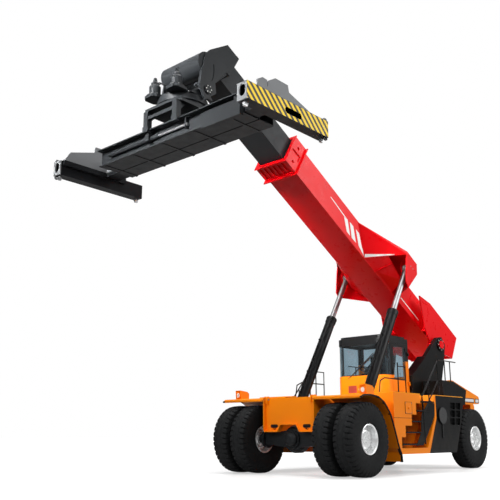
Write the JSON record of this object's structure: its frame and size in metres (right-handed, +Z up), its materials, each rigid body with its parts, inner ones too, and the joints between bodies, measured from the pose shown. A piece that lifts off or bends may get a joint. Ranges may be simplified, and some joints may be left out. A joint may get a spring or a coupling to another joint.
{
  "type": "reach stacker",
  "caption": "Rubber-tyred container handler with a telescopic boom, a slewing spreader with twistlocks, a central cab, twin drive wheels and steered rear wheels.",
  "frame": {"origin": "on the ground under the middle of the overall length, in the middle plane", "axes": "+X forward along the boom, +Y to the driver's left, +Z up"},
  "size_m": [12.4286, 6.1, 9.5382],
  "materials": {
    "orange_paint": "gloss enamel over welded plate",
    "black_paint": "satin enamel",
    "grey_paint": "satin enamel",
    "red_paint": "gloss enamel",
    "cast_metal": "painted casting",
    "silver_paint": "bright wheel enamel",
    "tyre_rubber": "moulded tread",
    "chrome_rod": "hard chrome, polished",
    "lock_steel": "forged steel",
    "tinted_glass": "tinted safety glass",
    "lamp_lens": "clear lens",
    "trim_plastic": "moulded trim",
    "seat_trim": "woven seat cover"
  },
  "bodies": {
    "chassis": {"frame": "orange_paint", "drive_axle": "cast_metal", "driveline": "cast_metal", "steer_axle": "cast_metal", "engine": "cast_metal", "engine_hood": "black_paint", "counterweight": "orange_paint", "boom_towers": "black_paint", "deck": "orange_paint", "front_fenders": "orange_paint", "side_bodies": "orange_paint", "rear_skirts": "black_paint", "steps_and_rails": "black_paint", "lamps": "lamp_lens", "mirrors": "trim_plastic", "cab_shell": "orange_paint", "cab_roof": "black_paint", "cab_glass": "tinted_glass", "cab_interior": "seat_trim"},
    "door": {"cab_door": "black_paint", "door_glass": "tinted_glass"},
    "front_wheels_left": {"front_tyres_left": "tyre_rubber", "front_rims_left": "silver_paint"},
    "front_wheels_right": {"front_tyres_right": "tyre_rubber", "front_rims_right": "silver_paint"},
    "steering_left": {"knuckle_left": "cast_metal"},
    "steering_right": {"knuckle_right": "cast_metal"},
    "rear_wheel_left": {"rear_tyre_left": "tyre_rubber", "rear_rim_left": "silver_paint"},
    "rear_wheel_right": {"rear_tyre_right": "tyre_rubber", "rear_rim_right": "silver_paint"},
    "boom": {"boom_outer": "red_paint"},
    "boom_extension": {"boom_inner": "grey_paint", "boom_head": "grey_paint"},
    "cylinder_left": {"barrel_left": "black_paint"},
    "cylinder_right": {"barrel_right": "black_paint"},
    "piston_left": {"rod_left": "chrome_rod"},
    "piston_right": {"rod_right": "chrome_rod"},
    "yoke": {"yoke": "grey_paint"},
    "turntable": {"turntable": "grey_paint"},
    "spreader": {"spreader_frame": "black_paint", "shift_rod": "chrome_rod"},
    "spreader_arm_left": {"arm_left": "black_paint"},
    "spreader_arm_right": {"arm_right": "black_paint"},
    "lock_front_left": {"twistlock_front_left": "lock_steel"},
    "lock_rear_left": {"twistlock_rear_left": "lock_steel"},
    "lock_front_right": {"twistlock_front_right": "lock_steel"},
    "lock_rear_right": {"twistlock_rear_right": "lock_steel"}
  },
  "joints": [
    {"name": "front_wheels_left_roll", "type": "hinge", "parent": "chassis", "child": "front_wheels_left", "pos_m": [1.11568, 1.515, 0.8075], "axis": [0, 1, 0], "continuous": true},
    {"name": "front_wheels_right_roll", "type": "hinge", "parent": "chassis", "child": "front_wheels_right", "pos_m": [1.11568, -1.515, 0.8075], "axis": [0, 1, 0], "continuous": true},
    {"name": "steer_left", "type": "hinge", "parent": "chassis", "child": "steering_left", "pos_m": [-4.88432, 1.05, 0.8075], "axis": [0, 0, 1], "range_deg": [-50, 50]},
    {"name": "steer_right", "type": "hinge", "parent": "chassis", "child": "steering_right", "pos_m": [-4.88432, -1.05, 0.8075], "axis": [0, 0, 1], "range_deg": [-50, 50]},
    {"name": "rear_wheel_left_roll", "type": "hinge", "parent": "steering_left", "child": "rear_wheel_left", "pos_m": [-4.88432, 1.39, 0.8075], "axis": [0, 1, 0], "continuous": true},
    {"name": "rear_wheel_right_roll", "type": "hinge", "parent": "steering_right", "child": "rear_wheel_right", "pos_m": [-4.88432, -1.39, 0.8075], "axis": [0, 1, 0], "continuous": true},
    {"name": "lift", "type": "hinge", "parent": "chassis", "child": "boom", "pos_m": [-4.53432, 0, 3.45], "axis": [0, -1, 0], "range_deg": [-29.7, 30.3]},
    {"name": "telescope", "type": "slide", "parent": "boom", "child": "boom_extension", "axis": [-0.8686, 0, -0.4955], "range_m": [-5, 0]},
    {"name": "level", "type": "hinge", "parent": "boom_extension", "child": "yoke", "pos_m": [4.84532, 0, 8.20025], "axis": [0, -1, 0], "range_deg": [-30.3, 29.7]},
    {"name": "slew", "type": "hinge", "parent": "yoke", "child": "turntable", "pos_m": [4.99532, 0, 7.8], "axis": [0, 0, 1], "range_deg": [-95, 185]},
    {"name": "side_shift", "type": "slide", "parent": "turntable", "child": "spreader", "axis": [0, 1, 0], "range_m": [-0.8, 0.8]},
    {"name": "arm_reach_left", "type": "slide", "parent": "spreader", "child": "spreader_arm_left", "axis": [0, 1, 0], "range_m": [0, 3.07]},
    {"name": "arm_reach_right", "type": "slide", "parent": "spreader", "child": "spreader_arm_right", "axis": [0, -1, 0], "range_m": [0, 3.07]},
    {"name": "cylinder_left_lean", "type": "hinge", "parent": "chassis", "child": "cylinder_left", "pos_m": [-0.08432, 1, 1.35], "axis": [0, -1, 0], "range_deg": [-4.3, 4.3]},
    {"name": "piston_left_stroke", "type": "slide", "parent": "cylinder_left", "child": "piston_left", "axis": [-0.5296, 0, 0.8482], "range_m": [-1.45, 1.48]},
    {"name": "cylinder_right_lean", "type": "hinge", "parent": "chassis", "child": "cylinder_right", "pos_m": [-0.08432, -1, 1.35], "axis": [0, -1, 0], "range_deg": [-4.3, 4.3]},
    {"name": "piston_right_stroke", "type": "slide", "parent": "cylinder_right", "child": "piston_right", "axis": [-0.5296, 0, 0.8482], "range_m": [-1.45, 1.48]},
    {"name": "lock_front_left_turn", "type": "hinge", "parent": "spreader_arm_left", "child": "lock_front_left", "pos_m": [6.12482, 2.925, 6.72], "axis": [0, 0, 1], "range_deg": [0, 90]},
    {"name": "lock_front_right_turn", "type": "hinge", "parent": "spreader_arm_right", "child": "lock_front_right", "pos_m": [6.12482, -2.925, 6.72], "axis": [0, 0, 1], "range_deg": [0, 90]},
    {"name": "lock_rear_left_turn", "type": "hinge", "parent": "spreader_arm_left", "child": "lock_rear_left", "pos_m": [3.86582, 2.925, 6.72], "axis": [0, 0, 1], "range_deg": [0, 90]},
    {"name": "lock_rear_right_turn", "type": "hinge", "parent": "spreader_arm_right", "child": "lock_rear_right", "pos_m": [3.86582, -2.925, 6.72], "axis": [0, 0, 1], "range_deg": [0, 90]},
    {"name": "door_swing", "type": "hinge", "parent": "chassis", "child": "door", "pos_m": [-2.78932, 0.812, 2.7], "axis": [0, 0, 1], "range_deg": [0, 95]}
  ],
  "couplings": [
    {"joint": "steer_right", "follows": "steer_left", "ratio": 1},
    {"joint": "level", "follows": "lift", "ratio": -1},
    {"joint": "arm_reach_right", "follows": "arm_reach_left", "ratio": 1},
    {"joint": "cylinder_left_lean", "follows": "lift", "ratio": 0.14},
    {"joint": "piston_left_stroke", "follows": "lift", "m_per_rad": 2.75},
    {"joint": "cylinder_right_lean", "follows": "lift", "ratio": 0.14},
    {"joint": "piston_right_stroke", "follows": "lift", "m_per_rad": 2.75},
    {"joint": "lock_rear_left_turn", "follows": "lock_front_left_turn", "ratio": 1},
    {"joint": "lock_front_right_turn", "follows": "lock_front_left_turn", "ratio": 1},
    {"joint": "lock_rear_right_turn", "follows": "lock_front_left_turn", "ratio": 1}
  ]
}
